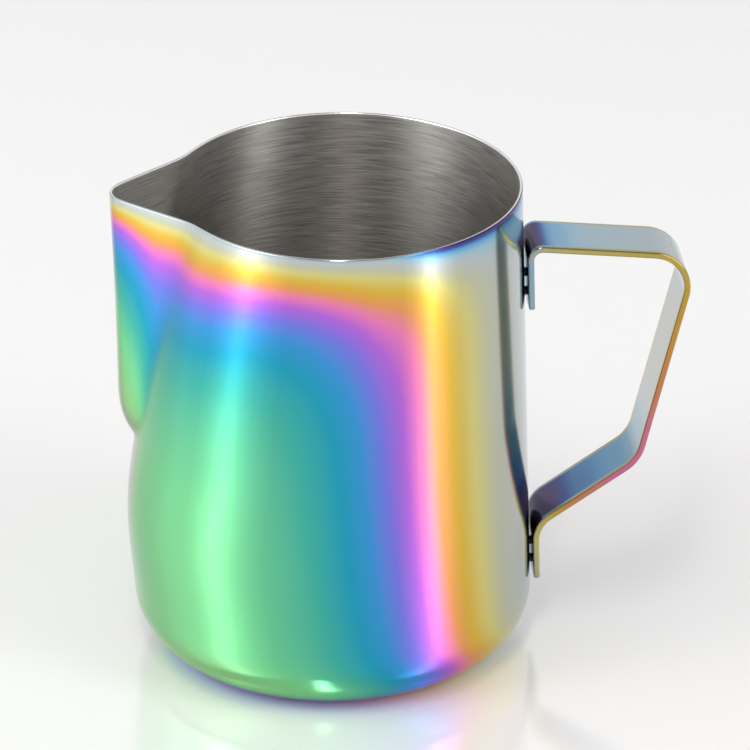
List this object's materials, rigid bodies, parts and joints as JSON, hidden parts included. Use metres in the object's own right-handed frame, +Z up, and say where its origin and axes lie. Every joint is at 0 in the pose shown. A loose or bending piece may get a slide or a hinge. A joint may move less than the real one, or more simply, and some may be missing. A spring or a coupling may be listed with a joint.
{
  "type": "milk frothing pitcher",
  "caption": "Open steel frothing pitcher with a rounded base edge, a narrow pressed pouring spout and a bent flat-bar handle.",
  "frame": {"origin": "centre of the flat base, on the plane that the pitcher stands on", "axes": "+Z up through the open rim, spout towards -X, handle towards +X, symmetric about the XZ plane"},
  "size_m": [0.129, 0.0908, 0.111],
  "materials": {
    "rainbow_coated_steel": "polished, rainbow interference coating outside, bare brushed steel inside",
    "rainbow_coated_bar": "polished, rainbow interference coating",
    "weld_steel": "heat-darkened weld metal"
  },
  "bodies": {
    "root": {"pitcher_body": "rainbow_coated_steel", "handle_strap": "rainbow_coated_bar", "upper_weld_top": "weld_steel", "upper_weld_bottom": "weld_steel", "lower_weld_top": "weld_steel", "lower_weld_bottom": "weld_steel"}
  },
  "joints": []
}
